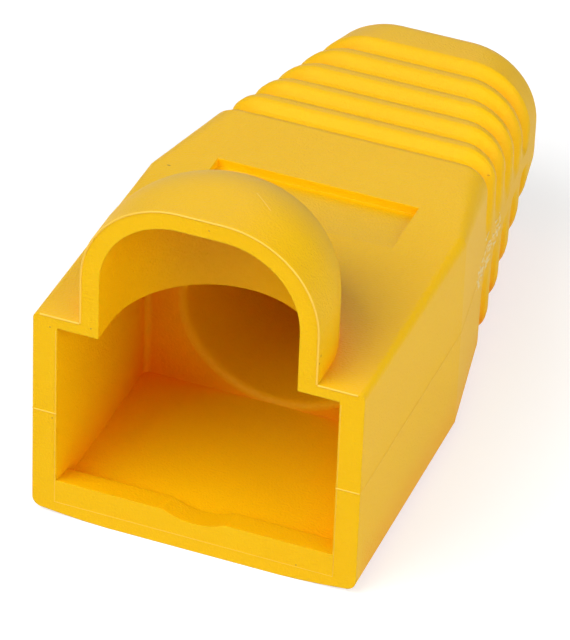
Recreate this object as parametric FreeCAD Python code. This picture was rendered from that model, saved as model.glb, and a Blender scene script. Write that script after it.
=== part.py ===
import FreeCAD, Part
import math
import os

# Strain relief boot for an RJ45 plug, moulded in one piece.
# X is the width, +Y runs from the plug mouth to the cable exit, +Z is up, and the boot stands on Z = 0.
# It is drawn with the mouth in the plane Y = 0, and then centred along Y.

V = FreeCAD.Vector

# Driving dimensions, mm.

# The plug that the boot slides over sets the width of the body.
PLUG_WIDTH = 11.68
PLUG_CLEARANCE = 0.235
SIDE_WALL = 1.05
POCKET_WIDTH = PLUG_WIDTH + 2 * PLUG_CLEARANCE
BODY_WIDTH = POCKET_WIDTH + 2 * SIDE_WALL
BODY_TAPER = 0.1
STRAIGHT_END_WIDTH = BODY_WIDTH - BODY_TAPER
STRAIGHT_LENGTH = 12.0

# Floor under the plug, and the funnel that leads the cable from the pocket down to the bore.
# The pocket is as tall as the funnel's mouth with its ledge and headroom, and carries the top wall.
FLOOR_HEIGHT = 1.01
FUNNEL_WIDTH = 8.7
FUNNEL_HEIGHT = 8.1
FUNNEL_LEDGE = 0.19
FUNNEL_HEADROOM = 0.12
FUNNEL_LENGTH = 7.53
FUNNEL_EDGE = 0.35
FUNNEL_CENTRE = FLOOR_HEIGHT + FUNNEL_LEDGE + FUNNEL_HEIGHT / 2
POCKET_TOP = FLOOR_HEIGHT + FUNNEL_LEDGE + FUNNEL_HEIGHT + FUNNEL_HEADROOM
TOP_WALL = 0.57
BODY_TOP = POCKET_TOP + TOP_WALL

# Shoulder that draws the body in to the start of the neck.
SHOULDER_LENGTH = 5.0
SHOULDER_DRAW = 1.65
SHOULDER_DROP = 0.04
NECK_START = STRAIGHT_LENGTH + SHOULDER_LENGTH
NECK_START_WIDTH = STRAIGHT_END_WIDTH - SHOULDER_DRAW
NECK_START_TOP = BODY_TOP - SHOULDER_DROP

# Cable bore, with its axis in the parting plane, and the tail's walls round it.
PARTING_HEIGHT = 5.1
BORE_RADIUS = 2.8
TAIL_SIDE_WALL = 2.075
TAIL_TOP_WALL = 1.0
TAIL_BASE_WALL = 1.15
TAIL_WIDTH = 2 * (BORE_RADIUS + TAIL_SIDE_WALL)
TAIL_TOP = PARTING_HEIGHT + BORE_RADIUS + TAIL_TOP_WALL
TAIL_BASE = PARTING_HEIGHT - BORE_RADIUS - TAIL_BASE_WALL
SIDE_BAND = 0.35

# Grooves round the neck, above and below the side band. They set how long the boot is.
GROOVE_COUNT = 5
GROOVE_OFFSET = 0.95
GROOVE_PITCH = 1.88
GROOVE_DEPTH = 0.48
TAIL_PLAIN = 2.73
GROOVE_FIRST = NECK_START + GROOVE_OFFSET
BOOT_LENGTH = GROOVE_FIRST + (GROOVE_COUNT - 1) * GROOVE_PITCH + TAIL_PLAIN

# Rounding of the long edges, at the mouth, at the end of the straight body, at the neck and at the tail.
MOUTH_TOP_RADIUS = 0.3
MOUTH_BASE_RADIUS = 0.45
STRAIGHT_RADIUS = 0.45
NECK_RADIUS = 1.1
TAIL_RADIUS = 3.3
TAIL_EDGE = 0.6
TAIL_EDGE_STEPS = 3

# The underside is flat along its middle, back to the neck, and lifts a little towards both sides.
# It is drawn lower by FOOT_TRIM and cut off level at Z = 0, so that the boot stands on a true plane.
FOOT_WIDTH = 6.0
SIDE_LIFT = 0.22
FOOT_TRIM = 0.01

# Pocket for the back of the plug.
POCKET_DEPTH = 9.47
POCKET_CORNER = 0.3
FUNNEL_END = POCKET_DEPTH + FUNNEL_LENGTH

# Lip across the mouth, with a shallow scallop in its middle.
LIP_FRONT_RISE = 0.74
LIP_REAR_RISE = 0.49
LIP_LENGTH = 1.25
SCALLOP_WIDTH = 2.5
SCALLOP_DEPTH = 0.28
LIP_FRONT_HEIGHT = FLOOR_HEIGHT + LIP_FRONT_RISE
LIP_REAR_HEIGHT = FLOOR_HEIGHT + LIP_REAR_RISE

# Latch guard: a hood over the plug's latch, open at the mouth and domed at the back.
GUARD_WIDTH = 10.24
GUARD_HEIGHT = 6.45
GUARD_FLAT = 1.84
GUARD_WALL = 0.84
GUARD_STRAIGHT = 1.4
GUARD_TOP = BODY_TOP + GUARD_HEIGHT

# Shallow recess behind the guard, deepest at its rear edge.
RECESS_WIDTH = 9.0
RECESS_LENGTH = 3.25
RECESS_REACH = 1.25
RECESS_DEPTH = 0.4
RECESS_REAR = STRAIGHT_LENGTH + RECESS_REACH
RECESS_FRONT = RECESS_REAR - RECESS_LENGTH

# One groove seen from the side: place along the pitch, and share of the full depth.
# The mouth side of the valley is long and gentle, the tail side is steep.
GROOVE_PROFILE = [
    (-0.50, 0.0),
    (-0.40, 0.10),
    (-0.28, 0.38),
    (-0.14, 0.80),
    (0.0, 1.0),
    (0.10, 0.86),
    (0.18, 0.50),
    (0.27, 0.15),
    (0.36, 0.0),
]

# Least distance along the boot between two of the cross-sections that make the skin.
SECTION_GAP = 0.05

# Least height left between the side band and the start of a rounded edge.
BAND_MARGIN = 0.05

# Clearance by which a cutter runs past the face that it opens.
PASS = 1.0

# Distance within which an edge counts as lying in a plane.
TOUCH = 1e-3

# Share of a radius that lies along each axis at the middle of a quarter turn.
DIAGONAL = math.sqrt(0.5)


def between(a, b, share):
    """The value that lies at the given share of the way from a to b."""
    return a + (b - a) * share


def station(y):
    """Half width, top, base and top and base edge radii of the skin at distance y from the mouth."""
    mouth = (BODY_WIDTH / 2, BODY_TOP, -FOOT_TRIM, MOUTH_TOP_RADIUS, MOUTH_BASE_RADIUS)
    straight = (STRAIGHT_END_WIDTH / 2, BODY_TOP, -FOOT_TRIM, STRAIGHT_RADIUS, STRAIGHT_RADIUS)
    neck = (NECK_START_WIDTH / 2, NECK_START_TOP, -FOOT_TRIM, NECK_RADIUS, NECK_RADIUS)
    if y <= STRAIGHT_LENGTH:
        start, end = mouth, straight
        share = y / STRAIGHT_LENGTH
    elif y <= NECK_START:
        start, end = straight, neck
        share = (y - STRAIGHT_LENGTH) / (NECK_START - STRAIGHT_LENGTH)
    else:
        start, end = neck, (TAIL_WIDTH / 2, TAIL_TOP, TAIL_BASE, TAIL_RADIUS, TAIL_RADIUS)
        share = (y - NECK_START) / (BOOT_LENGTH - NECK_START)
    return [between(a, b, share) for a, b in zip(start, end)]


def arc(a, b, c):
    return Part.Arc(a, b, c).toShape()


def line(a, b):
    return Part.LineSegment(a, b).toShape()


def half_ring(y, inset, edge):
    """Right half of a cross-section, from the underside's middle to the middle of the top.

    inset is the groove depth, which fades to nothing at the side band.
    edge shrinks the whole section, for the rounded rim of the tail.
    """
    half, top, base, top_radius, base_radius = station(y)
    half, top, base = half - edge, top - inset - edge, base + inset + edge
    inner = half - inset
    top_radius = min(top_radius - edge, top - PARTING_HEIGHT - SIDE_BAND - BAND_MARGIN)
    base_radius = min(base_radius - edge, PARTING_HEIGHT - SIDE_BAND - base - SIDE_LIFT - BAND_MARGIN)
    full = BODY_WIDTH / 2 - MOUTH_BASE_RADIUS
    shrink = (inner - base_radius) / full
    foot = FOOT_WIDTH / 2 * shrink
    run = (full - FOOT_WIDTH / 2) * shrink
    rise = SIDE_LIFT * shrink**2
    sweep = (run**2 + rise**2) / (2 * rise)
    middle = V(foot + run / 2, y, base + sweep - math.sqrt(sweep**2 - (run / 2) ** 2))
    low = base + rise + base_radius
    high = top - top_radius
    points = [
        V(0, y, base),
        V(foot, y, base),
        V(inner - base_radius, y, base + rise),
        V(inner, y, low),
        V(half, y, PARTING_HEIGHT - SIDE_BAND),
        V(half, y, PARTING_HEIGHT + SIDE_BAND),
        V(inner, y, high),
        V(inner - top_radius, y, top),
        V(0, y, top),
    ]
    base_bend = V(inner - base_radius * (1 - DIAGONAL), y, low - base_radius * DIAGONAL)
    top_bend = V(inner - top_radius * (1 - DIAGONAL), y, high + top_radius * DIAGONAL)
    return [
        line(points[0], points[1]),
        arc(points[1], middle, points[2]),
        arc(points[2], base_bend, points[3]),
        line(points[3], points[4]),
        line(points[4], points[5]),
        line(points[5], points[6]),
        arc(points[6], top_bend, points[7]),
        line(points[7], points[8]),
    ]


def ring(y, inset=0.0, edge=0.0):
    """Closed cross-section of the outer skin at distance y from the mouth."""
    right = half_ring(y, inset, edge)
    left = [e.mirror(V(0, 0, 0), V(1, 0, 0)) for e in right]
    return Part.Wire(Part.__sortEdges__(right + left))


def groove_depth(y):
    """Depth of the grooves at distance y from the mouth."""
    along = (y - GROOVE_FIRST) / GROOVE_PITCH
    groove = min(max(round(along), 0), GROOVE_COUNT - 1)
    share = along - groove
    for (a, shallow), (b, deep) in zip(GROOVE_PROFILE, GROOVE_PROFILE[1:]):
        if a <= share <= b:
            return GROOVE_DEPTH * between(shallow, deep, (share - a) / (b - a))
    return 0.0


def skin():
    """The outer shape without the latch guard: a straight body, a drawn-in shoulder and a grooved neck."""
    places = [0.0, STRAIGHT_LENGTH, NECK_START]
    for i in range(GROOVE_COUNT):
        valley = GROOVE_FIRST + i * GROOVE_PITCH
        places += [valley + s * GROOVE_PITCH for s, depth in GROOVE_PROFILE]
    spaced = []
    for y in sorted(places):
        if not spaced or y - spaced[-1] > SECTION_GAP:
            spaced.append(y)
    rings = [ring(y, groove_depth(y)) for y in spaced]
    for step in range(TAIL_EDGE_STEPS + 1):
        angle = math.pi / 2 * step / TAIL_EDGE_STEPS
        y = BOOT_LENGTH - TAIL_EDGE * (1 - math.sin(angle))
        rings.append(ring(y, 0.0, TAIL_EDGE * (1 - math.cos(angle))))
    below = Part.makeBox(BODY_WIDTH, BOOT_LENGTH, PASS, V(-BODY_WIDTH / 2, 0, -PASS))
    return Part.makeLoft(rings, True, True).cut(below)


def oval(half_width, half_height, y, z):
    """A closed ellipse across the boot, in two halves that meet at its sides."""
    wide = half_width >= half_height
    ellipse = Part.Ellipse(V(0, y, z), max(half_width, half_height), min(half_width, half_height))
    ellipse.Axis = V(0, -1, 0)
    ellipse.XAxis = V(1, 0, 0) if wide else V(0, 0, 1)
    start = 0.0 if wide else -math.pi / 2
    turns = [start, start + math.pi, start + 2 * math.pi]
    return Part.Wire([Part.Arc(ellipse, a, b).toShape() for a, b in zip(turns, turns[1:])])


def hood(wall, start):
    """A solid hood: an arch drawn along Y whose back end is turned about a vertical axis.

    wall is how far it lies inside the guard's outer face, start is the height of its flat underside.
    """
    half = GUARD_WIDTH / 2 - wall
    top = GUARD_TOP - wall
    flat = GUARD_FLAT / 2
    radius = half - flat
    spring = top - radius
    right = [
        line(V(0, 0, start), V(half, 0, start)),
        line(V(half, 0, start), V(half, 0, spring)),
        arc(V(half, 0, spring), V(flat + radius * DIAGONAL, 0, spring + radius * DIAGONAL), V(flat, 0, top)),
        line(V(flat, 0, top), V(0, 0, top)),
    ]
    left = [e.mirror(V(0, 0, 0), V(1, 0, 0)) for e in right]
    arch = Part.Face(Part.Wire(Part.__sortEdges__(right + left)))
    half_face = Part.Face(Part.Wire(right + [line(V(0, 0, top), V(0, 0, start))]))
    dome = half_face.revolve(V(0, 0, 0), V(0, 0, 1), 180)
    dome.translate(V(0, GUARD_STRAIGHT, 0))
    return arch.extrude(V(0, GUARD_STRAIGHT, 0)).fuse(dome)


def pocket():
    """The room for the back of the plug, open at the mouth."""
    height = POCKET_TOP - FLOOR_HEIGHT
    corner = V(-POCKET_WIDTH / 2, -PASS, FLOOR_HEIGHT)
    room = Part.makeBox(POCKET_WIDTH, POCKET_DEPTH + PASS, height, corner)
    corners = [
        e
        for e in room.Edges
        if abs(e.BoundBox.YMin - POCKET_DEPTH) < TOUCH and e.BoundBox.ZLength > height / 2
    ]
    return room.makeFillet(POCKET_CORNER, corners)


def lip():
    """The ridge across the mouth's floor, which the plug snaps over."""
    side = -POCKET_WIDTH / 2
    outline = [
        V(side, 0, FLOOR_HEIGHT),
        V(side, LIP_LENGTH, FLOOR_HEIGHT),
        V(side, LIP_LENGTH, LIP_REAR_HEIGHT),
        V(side, 0, LIP_FRONT_HEIGHT),
    ]
    ridge = Part.Face(Part.makePolygon(outline + outline[:1])).extrude(V(POCKET_WIDTH, 0, 0))
    radius = ((SCALLOP_WIDTH / 2) ** 2 + SCALLOP_DEPTH**2) / (2 * SCALLOP_DEPTH)
    slope = V(0, LIP_LENGTH, LIP_REAR_HEIGHT - LIP_FRONT_HEIGHT).normalize()
    start = V(0, 0, LIP_FRONT_HEIGHT - SCALLOP_DEPTH + radius) - slope * PASS
    return ridge.cut(Part.makeCylinder(radius, LIP_LENGTH + 2 * PASS, start, slope))


def cable_way():
    """The funnel behind the pocket and the round bore out through the tail."""
    mouth = oval(FUNNEL_WIDTH / 2, FUNNEL_HEIGHT / 2, POCKET_DEPTH, FUNNEL_CENTRE)
    throat = oval(BORE_RADIUS, BORE_RADIUS, FUNNEL_END, PARTING_HEIGHT)
    funnel = Part.makeLoft([mouth, throat], True, True)
    length = BOOT_LENGTH - FUNNEL_END + PASS
    bore = Part.makeCylinder(BORE_RADIUS, length, V(0, FUNNEL_END, PARTING_HEIGHT), V(0, 1, 0))
    return funnel.fuse(bore)


def recess():
    """A wedge out of the top, deepest at its rear edge and running out towards the mouth."""
    outline = [
        V(-RECESS_WIDTH / 2, RECESS_FRONT, BODY_TOP),
        V(-RECESS_WIDTH / 2, RECESS_REAR, BODY_TOP - RECESS_DEPTH),
        V(-RECESS_WIDTH / 2, RECESS_REAR, BODY_TOP + PASS),
        V(-RECESS_WIDTH / 2, RECESS_FRONT, BODY_TOP + PASS),
    ]
    return Part.Face(Part.makePolygon(outline + outline[:1])).extrude(V(RECESS_WIDTH, 0, 0))


def soften_funnel(shape):
    """Round the edge where the funnel opens in the back wall of the pocket."""
    rim = [
        e
        for e in shape.Edges
        if abs(e.BoundBox.YMin - POCKET_DEPTH) < TOUCH
        and e.BoundBox.YLength < TOUCH
        and e.BoundBox.XLength > FUNNEL_WIDTH / 2
        and e.BoundBox.ZLength > FUNNEL_HEIGHT / 4
    ]
    return shape.makeFillet(FUNNEL_EDGE, rim)


def boot():
    shape = skin().cut(recess())
    shape = shape.fuse(hood(0.0, PARTING_HEIGHT))
    shape = shape.cut(pocket())
    shape = shape.cut(hood(GUARD_WALL, POCKET_TOP - PASS))
    shape = soften_funnel(shape.cut(cable_way()))
    return shape.fuse(lip()).removeSplitter().Solids[0]


os.makedirs("parts", exist_ok=True)
solid = boot()
solid.translate(V(0, -BOOT_LENGTH / 2, 0))
print(solid.ShapeType, solid.isValid(), round(solid.Volume, 1), solid.BoundBox)
solid.exportStep("parts/boot.step")
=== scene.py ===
import math
import random

import bmesh
import bpy
from mathutils import Matrix, Vector
from mathutils.bvhtree import BVHTree


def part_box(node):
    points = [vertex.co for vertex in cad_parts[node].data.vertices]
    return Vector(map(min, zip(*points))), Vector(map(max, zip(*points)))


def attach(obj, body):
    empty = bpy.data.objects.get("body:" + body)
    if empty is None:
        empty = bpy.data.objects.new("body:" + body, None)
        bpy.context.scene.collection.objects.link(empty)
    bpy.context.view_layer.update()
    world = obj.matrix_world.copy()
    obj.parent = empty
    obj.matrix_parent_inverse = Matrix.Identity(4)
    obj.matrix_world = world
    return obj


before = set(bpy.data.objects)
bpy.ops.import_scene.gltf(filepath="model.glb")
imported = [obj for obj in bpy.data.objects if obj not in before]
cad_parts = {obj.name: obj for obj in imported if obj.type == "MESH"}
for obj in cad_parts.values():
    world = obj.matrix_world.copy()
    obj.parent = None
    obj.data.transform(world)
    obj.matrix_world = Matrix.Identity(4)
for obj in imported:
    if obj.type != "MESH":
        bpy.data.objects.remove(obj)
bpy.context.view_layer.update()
MM = 0.001

# The boot is one soft PVC moulding: an open body that slides over a plug, a domed guard over the
# plug's latch and a ribbed neck that lets the cable bend gently. It leaves the mould in one piece.
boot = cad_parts["boot"]
low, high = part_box("boot")
mouth = low.y

# Golden yellow PVC from a spark-finished mould. It looks satin, turns deep orange where the walls
# light each other and where painted shade deepens it, and scatters a little light under its skin.
PVC_COLOUR = "F5BD00"
PVC_WARM_COLOUR = "F7C202"
# Painted shade: where walls close in on each other, the colour is mixed towards a deeper orange.
PVC_PAINTED_SHADE_COLOUR = "FF8600"
PVC_PAINTED_SHADE_REACH = 6.0 * MM
PVC_PAINTED_SHADE_SAMPLES = 6
PVC_PAINTED_SHADE_OPENNESS = (0.2, 0.66)
# That holds behind the lip at the mouth, and not in the shallow recess on top.
PVC_PAINTED_SHADE_START = (1.5 * MM, 0.3 * MM)
PVC_RECESS_HEIGHT = (9.3 * MM, 9.5 * MM)
PVC_RECESS_START = (8.0 * MM, 8.5 * MM)
PVC_ROUGHNESS = 0.5
PVC_IOR = 1.53
PVC_SPECULAR = 0.16
PVC_SCATTER_WEIGHT = 0.12
PVC_SCATTER_DEPTH = 0.4 * MM
PVC_SCATTER_REACH = (1.0, 0.4, 0.03)
EDGE_RADIUS = 0.06 * MM
EDGE_SAMPLES = 8
# The real grain is about 0.05 mm across and shallower still. It is drawn at twice that width and
# far deeper, so that it shows.
GRAIN_SIZE = 0.1 * MM
GRAIN_HEIGHT = 0.08 * MM
GRAIN_STRENGTH = 0.5
# Slow unevenness of colour where the melt cooled at different rates.
MOTTLE_SIZE = 4.0 * MM
NOISE_DETAIL = 2.0


def linear(hex_colour):
    """The linear colour of an sRGB hex value."""
    values = [int(hex_colour[i:i + 2], 16) / 255 for i in (0, 2, 4)]
    return [v / 12.92 if v <= 0.04045 else ((v + 0.055) / 1.055) ** 2.4 for v in values] + [1.0]


def node(owner, kind, links=(), inputs=(), **settings):
    """Adds a shader node with its settings, its (input, value) pairs and its (input, socket) links."""
    made = owner.node_tree.nodes.new(kind)
    for name, value in settings.items():
        setattr(made, name, value)
    for name, value in inputs:
        made.inputs[name].default_value = value
    for name, socket in links:
        owner.node_tree.links.new(socket, made.inputs[name])
    return made


def plain_material(name, colour, roughness):
    """A material with one colour and one roughness, for marks too small to show a pattern."""
    material = bpy.data.materials.new(name)
    material.use_nodes = True
    shader = material.node_tree.nodes["Principled BSDF"]
    shader.inputs["Base Color"].default_value = linear(colour)
    shader.inputs["Roughness"].default_value = roughness
    return material


pvc = plain_material("moulded_soft_pvc", PVC_COLOUR, PVC_ROUGHNESS)
pvc_shader = pvc.node_tree.nodes["Principled BSDF"]
spot = node(pvc, "ShaderNodeTexCoord").outputs["Object"]
mottle_look = [("Scale", 1 / MOTTLE_SIZE), ("Detail", NOISE_DETAIL)]
mottle = node(pvc, "ShaderNodeTexNoise", [("Vector", spot)], mottle_look)
tint = node(pvc, "ShaderNodeValToRGB", [("Fac", mottle.outputs["Fac"])])
tint.color_ramp.elements[0].color = linear(PVC_COLOUR)
tint.color_ramp.elements[1].color = linear(PVC_WARM_COLOUR)
# Painted shade: an occlusion mask mixes the colour towards deep orange where walls close in.
reach = [("Distance", PVC_PAINTED_SHADE_REACH)]
enclosed = node(pvc, "ShaderNodeAmbientOcclusion", inputs=reach, samples=PVC_PAINTED_SHADE_SAMPLES)
axes = node(pvc, "ShaderNodeSeparateXYZ", [("Vector", spot)]).outputs
# Each of these rises from nothing at its start to one at its end.
rises = []
for socket, (start, end) in (
    (enclosed.outputs["AO"], PVC_PAINTED_SHADE_OPENNESS),
    (axes["Y"], [mouth + length for length in PVC_PAINTED_SHADE_START]),
    (axes["Z"], PVC_RECESS_HEIGHT),
    (axes["Y"], [mouth + length for length in PVC_RECESS_START]),
):
    limits = [("From Min", start), ("From Max", end)]
    rises.append(node(pvc, "ShaderNodeMapRange", [("Value", socket)], limits).outputs["Result"])
walls, lip, top, rear = rises
recess = node(pvc, "ShaderNodeMath", [(0, top), (1, rear)], operation="MINIMUM").outputs[0]
outside = node(pvc, "ShaderNodeMath", [(0, lip), (1, recess)], operation="MAXIMUM").outputs[0]
openness = node(pvc, "ShaderNodeMath", [(0, walls), (1, outside)], operation="MAXIMUM").outputs[0]
# The painted shade mix: deep orange where the mask is low, the mottled PVC colour elsewhere.
painted_shade_mix = node(
    pvc,
    "ShaderNodeMix",
    [("Factor", openness), ("B", tint.outputs["Color"])],
    [("A", linear(PVC_PAINTED_SHADE_COLOUR))],
    data_type="RGBA",
)
grain_look = [("Scale", 1 / GRAIN_SIZE), ("Detail", NOISE_DETAIL)]
grain = node(pvc, "ShaderNodeTexNoise", [("Vector", spot)], grain_look)
rounded = node(pvc, "ShaderNodeBevel", inputs=[("Radius", EDGE_RADIUS)], samples=EDGE_SAMPLES)
bump = node(
    pvc,
    "ShaderNodeBump",
    [("Height", grain.outputs["Fac"]), ("Normal", rounded.outputs["Normal"])],
    [("Strength", GRAIN_STRENGTH), ("Distance", GRAIN_HEIGHT)],
)
pvc.node_tree.links.new(painted_shade_mix.outputs["Result"], pvc_shader.inputs["Base Color"])
pvc.node_tree.links.new(bump.outputs["Normal"], pvc_shader.inputs["Normal"])
for name, value in (
    ("IOR", PVC_IOR),
    ("Specular IOR Level", PVC_SPECULAR),
    ("Subsurface Weight", PVC_SCATTER_WEIGHT),
    ("Subsurface Radius", PVC_SCATTER_REACH),
    ("Subsurface Scale", PVC_SCATTER_DEPTH),
):
    pvc_shader.inputs[name].default_value = value
boot.data.materials.clear()
boot.data.materials.append(pvc)

# Parting lines: where the two halves of the mould met, a fine ridge of PVC was squeezed out along
# both sides and across the two wall ends at the mouth. It is thin, and its paler colour is a painted
# highlight.
PARTING_HEIGHT = 5.15 * MM
PARTING_RADIUS = 0.03 * MM
PARTING_STEP = 0.8 * MM
PARTING_LENGTH = 16.4 * MM
WALL_END = 1.05 * MM
# The ridges' paler colour is a painted highlight; on the scratch below, the same colour is rubbed
# wear.
PALE_WEAR_AND_HIGHLIGHT_COLOUR = "F7C640"
skin = BVHTree.FromObject(boot, bpy.context.evaluated_depsgraph_get())
wear_and_highlight_pvc = plain_material("pvc_ridge_wear_and_painted_highlight", PALE_WEAR_AND_HIGHLIGHT_COLOUR, PVC_ROUGHNESS)


def add_mark(name, mesh, material):
    """Puts a finished mark on the boot."""
    piece = bpy.data.objects.new(name, mesh)
    bpy.context.scene.collection.objects.link(piece)
    for face in mesh.polygons:
        face.use_smooth = True
    mesh.materials.clear()
    mesh.materials.append(material)
    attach(piece, "root")


def ridge(name, points, radius):
    """A fine ridge along points, as one tube half sunk in the surface."""
    path = bpy.data.curves.new(name, "CURVE")
    path.dimensions = "3D"
    path.bevel_depth = radius
    path.bevel_resolution = 2
    path.use_fill_caps = True
    spline = path.splines.new("POLY")
    spline.points.add(len(points) - 1)
    for target, point in zip(spline.points, points):
        target.co = (*point, 1.0)
    carrier = bpy.data.objects.new(name + "_path", path)
    bpy.context.scene.collection.objects.link(carrier)
    mesh = bpy.data.meshes.new_from_object(carrier)
    bpy.data.objects.remove(carrier)
    add_mark(name, mesh, wear_and_highlight_pvc)


def on_side(side, length, height):
    """The point on the outer side of the boot at a distance from the mouth and a height."""
    return skin.ray_cast(Vector((side * 2 * high.x, mouth + length, height)), Vector((-side, 0, 0)))[0]


def on_top(x, length):
    """The point on the top of the boot at a distance from the mouth."""
    return skin.ray_cast(Vector((x, mouth + length, 2 * high.z)), Vector((0, 0, -1)))[0]


for side, word in ((1, "right"), (-1, "left")):
    steps = int(PARTING_LENGTH / PARTING_STEP)
    line = [on_side(side, PARTING_RADIUS + i * PARTING_STEP, PARTING_HEIGHT) for i in range(steps + 1)]
    ridge("parting_line_" + word, line, PARTING_RADIUS)
    ends = (side * (high.x - PARTING_RADIUS), side * (high.x - WALL_END))
    ridge("parting_end_" + word, [Vector((x, mouth, PARTING_HEIGHT)) for x in ends], PARTING_RADIUS)

# Insert line: the steel core that forms the pocket met the mould at the mouth, and left a faint
# raised line down both wall ends and across under the lip.
INSERT_HALF_WIDTH = 6.13 * MM
INSERT_BASE = 0.65 * MM
INSERT_TOP = 9.3 * MM
INSERT_RADIUS = 0.016 * MM
corners = [
    (-INSERT_HALF_WIDTH, INSERT_TOP),
    (-INSERT_HALF_WIDTH, INSERT_BASE),
    (INSERT_HALF_WIDTH, INSERT_BASE),
    (INSERT_HALF_WIDTH, INSERT_TOP),
]
ridge("insert_line", [Vector((x, mouth, z)) for x, z in corners], INSERT_RADIUS)

# Guard rim: the outer edge of the latch guard keeps a fine bead of flash, and so do the two top
# edges of the body beside it. Its paler colour is a painted highlight, standing for the light it
# catches.
GUARD_HALF_WIDTH = 5.12 * MM
GUARD_HALF_FLAT = 0.92 * MM
BODY_TOP = 9.99 * MM
TOP_EDGE_INSET = 0.3 * MM
RIM_RADIUS = 0.045 * MM
RIM_STEPS = 16
guard_radius = GUARD_HALF_WIDTH - GUARD_HALF_FLAT
spring = high.z - guard_radius
inset_radius = guard_radius - RIM_RADIUS
half_rim = [Vector((GUARD_HALF_WIDTH - RIM_RADIUS, mouth, BODY_TOP))]
for step in range(RIM_STEPS + 1):
    turn = math.pi / 2 * step / RIM_STEPS
    across_rim = GUARD_HALF_FLAT + inset_radius * math.cos(turn)
    half_rim.append(Vector((across_rim, mouth, spring + inset_radius * math.sin(turn))))
ridge("guard_rim", half_rim + [Vector((-p.x, p.y, p.z)) for p in reversed(half_rim)], RIM_RADIUS)
for side, word in ((1, "right"), (-1, "left")):
    ends = (side * GUARD_HALF_WIDTH, side * (high.x - TOP_EDGE_INSET))
    top_edge = [Vector((x, mouth, BODY_TOP - RIM_RADIUS)) for x in ends]
    ridge("top_edge_" + word, top_edge, RIM_RADIUS)

# Ring lines: the rings that cut the grooves in the mould leave a hair line across the neck's top,
# behind the first and the third ridge.
RING_LINES = (19.45 * MM, 23.2 * MM)
RING_HALF_WIDTH = 3.6 * MM
RING_RADIUS = 0.022 * MM
RING_STEPS = 12
for number, length in enumerate(RING_LINES, 1):
    places = [RING_HALF_WIDTH * (2 * i / RING_STEPS - 1) for i in range(RING_STEPS + 1)]
    ridge(f"ring_line_{number}", [on_top(x, length) for x in places], RING_RADIUS)

# Flash crumbs: torn shreds of flash along the parting line at the start of the neck, paler than
# the body because they are thin and stretched.
CRUMB_COUNT = 110
CRUMB_LENGTHS = (15.6 * MM, 20.4 * MM)
CRUMB_SPREAD = 0.3 * MM
CRUMB_RADII = (0.015 * MM, 0.07 * MM)
CRUMB_THICKNESS = 0.3
CRUMB_STRETCH = (1.5, 5.0)
CRUMB_TURN = 0.45
CRUMB_COLOUR = "F5D790"
CRUMB_ROUGHNESS = 0.6
CRUMB_SEED = 7
draw = random.Random(CRUMB_SEED)
crumbs = bmesh.new()
for _ in range(CRUMB_COUNT):
    place = on_side(1, draw.uniform(*CRUMB_LENGTHS), PARTING_HEIGHT + draw.gauss(0.0, CRUMB_SPREAD))
    radius = draw.uniform(*CRUMB_RADII)
    stretch = Matrix.Diagonal((CRUMB_THICKNESS, draw.uniform(*CRUMB_STRETCH), 1.0, 1.0))
    turned = Matrix.Rotation(draw.gauss(0.0, CRUMB_TURN), 4, "X")
    where = Matrix.Translation(place) @ turned @ stretch
    bmesh.ops.create_icosphere(crumbs, subdivisions=2, radius=radius, matrix=where)
crumb_mesh = bpy.data.meshes.new("flash_crumbs")
crumbs.to_mesh(crumb_mesh)
crumbs.free()
torn_pvc = plain_material("torn_pvc_flash", CRUMB_COLOUR, CRUMB_ROUGHNESS)
add_mark("flash_crumbs", crumb_mesh, torn_pvc)

# Dust: a few dark specks sit in the surface, as they do on any boot from a workshop.
SPECK_RADIUS = 0.036 * MM
SPECK_THICKNESS = 0.3
SPECK_COLOUR = "C08E2A"
SPECK_ROUGHNESS = 0.8
# Across and up, on the mouth's face.
FRONT_SPECKS = ((0.34, 16.0), (-4.6, 9.85), (-6.38, 9.41), (-6.26, 4.9), (4.54, 0.74))
# Across, along and how drawn out, on top.
TOP_SPECKS = ((-6.17, 11.9, 2.6), (2.8, 23.2, 1.6))
# Along, up and how drawn out, on the right side: one on the neck and two on the guard.
NECK_SPECK = (18.35, 8.85, 2.6)
GUARD_SPECKS = ((0.23, 11.24, 2.0), (0.1, 10.95, 1.4))
specks = bmesh.new()
speck_places = []
for x, height in FRONT_SPECKS:
    speck_places.append((Vector((x * MM, mouth, height * MM)), (1, SPECK_THICKNESS, 1, 1)))
for x, length, stretch in TOP_SPECKS:
    speck_places.append((on_top(x * MM, length * MM), (stretch, 1, SPECK_THICKNESS, 1)))
length, height, stretch = NECK_SPECK
speck_places.append((on_side(1, length * MM, height * MM), (stretch, 1, SPECK_THICKNESS, 1)))
for length, height, stretch in GUARD_SPECKS:
    speck_places.append((on_side(1, length * MM, height * MM), (SPECK_THICKNESS, 1, stretch, 1)))
for place, scale in speck_places:
    where = Matrix.Translation(place) @ Matrix.Diagonal(scale)
    bmesh.ops.create_icosphere(specks, subdivisions=2, radius=SPECK_RADIUS, matrix=where)
speck_mesh = bpy.data.meshes.new("dust_specks")
specks.to_mesh(speck_mesh)
specks.free()
dust = plain_material("workshop_dust", SPECK_COLOUR, SPECK_ROUGHNESS)
add_mark("dust_specks", speck_mesh, dust)

# Scratch: a light streak runs down the right of the guard, where a tool rubbed the soft PVC.
SCRATCH_ENDS = ((1.25 * MM, 2.72 * MM), (2.15 * MM, 1.95 * MM))
SCRATCH_STEPS = 6
SCRATCH_RADIUS = 0.02 * MM
(first_x, first_length), (last_x, last_length) = SCRATCH_ENDS
shares = [i / SCRATCH_STEPS for i in range(SCRATCH_STEPS + 1)]
scratch = [
    on_top(first_x + (last_x - first_x) * s, first_length + (last_length - first_length) * s)
    for s in shares
]
ridge("guard_scratch", scratch, SCRATCH_RADIUS)

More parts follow.
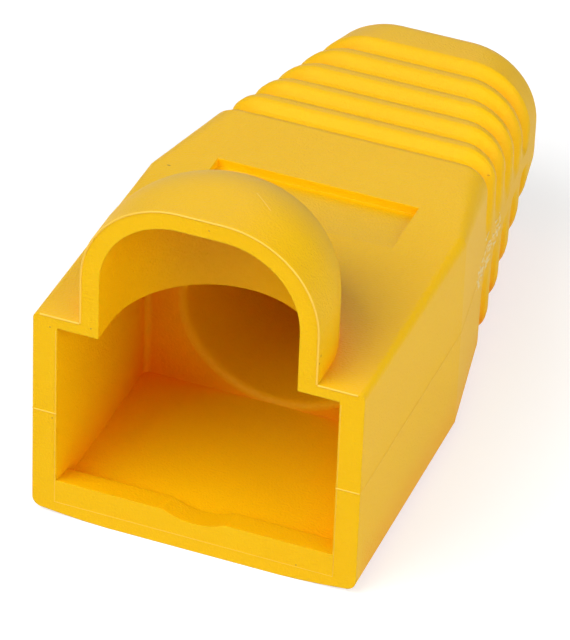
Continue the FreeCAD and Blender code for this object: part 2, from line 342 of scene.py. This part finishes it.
# Floor: a plain sweep of white paper. It looks white and keeps the boot's soft shadow.
FLOOR_SIZE = 2.0
PAPER_COLOUR = "C6C6C6"
PAPER_ROUGHNESS = 0.9
PAPER_GLOW = 0.6
floor_mesh = bpy.data.meshes.new("floor")
sheet = bmesh.new()
bmesh.ops.create_grid(sheet, x_segments=1, y_segments=1, size=FLOOR_SIZE)
sheet.to_mesh(floor_mesh)
sheet.free()
floor = bpy.data.objects.new("floor", floor_mesh)
bpy.context.scene.collection.objects.link(floor)
paper = plain_material("white_paper", PAPER_COLOUR, PAPER_ROUGHNESS)


def seen_rays(owner):
    """One where a ray comes from the eye, or by way of a gloss or a glass, and nothing otherwise."""
    rays = node(owner, "ShaderNodeLightPath").outputs
    total = rays["Is Camera Ray"]
    for name in ("Is Glossy Ray", "Is Transmission Ray"):
        pair = [(0, total), (1, rays[name])]
        total = node(owner, "ShaderNodeMath", pair, operation="MAXIMUM").outputs[0]
    return total


sheet_look = paper.node_tree.nodes["Principled BSDF"].outputs[0]
glow = node(paper, "ShaderNodeEmission", inputs=[("Strength", PAPER_GLOW)]).outputs[0]
glowing = node(paper, "ShaderNodeAddShader", [(0, sheet_look), (1, glow)]).outputs[0]
mixed = [("Fac", seen_rays(paper)), (1, sheet_look), (2, glowing)]
paper_seen = node(paper, "ShaderNodeMixShader", mixed).outputs[0]
paper.node_tree.links.new(paper_seen, paper.node_tree.nodes["Material Output"].inputs["Surface"])
floor_mesh.materials.append(paper)

# Light: the boot stands in a light tent, dim in itself and seen as white, with four softboxes
# in front and to the right. The main one is high, so that the deep pocket stays in shade.
TENT_STRENGTH = 0.05
TENT_WHITE = (1, 1, 1, 1)
SOFTBOX_SIZE = 0.3
SOFTBOXES = (
    ("front_left", (-0.16, -0.20, 0.30), 1.36),
    ("front_right", (0.16, -0.24, 0.28), 0.22),
    ("front", (0.05, -0.34, 0.20), 0.12),
    ("right", (0.33, -0.12, 0.12), 0.88),
)
# The back card only shines in the sheen of the upper faces.
BACK_CARD = ("back_card", (-0.11, 0.31, 0.23), 0.48)
world = bpy.data.worlds.new("light_tent")
bpy.context.scene.world = world
world.use_nodes = True
dim = world.node_tree.nodes["Background"]
dim.inputs["Color"].default_value = TENT_WHITE
dim.inputs["Strength"].default_value = TENT_STRENGTH
white = node(world, "ShaderNodeBackground", inputs=[("Color", TENT_WHITE), ("Strength", 1.0)])
mixed = [("Fac", seen_rays(world)), (1, dim.outputs[0]), (2, white.outputs[0])]
tent = node(world, "ShaderNodeMixShader", mixed).outputs[0]
world.node_tree.links.new(tent, world.node_tree.nodes["World Output"].inputs["Surface"])
centre = Vector((0, 0, high.z / 2))
for name, position, power in (*SOFTBOXES, BACK_CARD):
    lamp = bpy.data.lights.new("softbox_" + name, "AREA")
    lamp.shape = "SQUARE"
    lamp.size = SOFTBOX_SIZE
    lamp.energy = power
    softbox = bpy.data.objects.new("softbox_" + name, lamp)
    bpy.context.scene.collection.objects.link(softbox)
    softbox.location = position
    softbox.visible_diffuse = name != BACK_CARD[0]
    softbox.rotation_euler = (centre - Vector(position)).to_track_quat("-Z", "Y").to_euler()

# Camera: a long lens above the mouth, turned to the boot's left and rolled a little.
CAMERA_AZIMUTH = math.radians(20.108)
CAMERA_ELEVATION = math.radians(35.608)
CAMERA_ROLL = math.radians(2.322)
CAMERA_OFFSET = (3.794 * MM, 9.267 * MM, 205.58 * MM)
LENS = 283.26
SENSOR_WIDTH = 36
CLIP_START = 0.01
AIM_HEIGHT = 0.22 * MM
aim = Vector((0, mouth, AIM_HEIGHT))
right = Vector((math.cos(CAMERA_AZIMUTH), math.sin(CAMERA_AZIMUTH), 0))
back = Vector((
    math.sin(CAMERA_AZIMUTH) * math.cos(CAMERA_ELEVATION),
    -math.cos(CAMERA_AZIMUTH) * math.cos(CAMERA_ELEVATION),
    math.sin(CAMERA_ELEVATION),
))
up = back.cross(right)
across = right * math.cos(CAMERA_ROLL) + up * math.sin(CAMERA_ROLL)
upward = up * math.cos(CAMERA_ROLL) - right * math.sin(CAMERA_ROLL)
place = aim + across * CAMERA_OFFSET[0] + upward * CAMERA_OFFSET[1] + back * CAMERA_OFFSET[2]
view = bpy.data.cameras.new("camera")
view.lens = LENS
view.sensor_width = SENSOR_WIDTH
view.clip_start = CLIP_START
camera = bpy.data.objects.new("camera", view)
bpy.context.scene.collection.objects.link(camera)
camera.matrix_world = Matrix((across, upward, back)).transposed().to_4x4()
camera.location = place
bpy.context.scene.camera = camera
bpy.context.scene.view_settings.view_transform = "Standard"
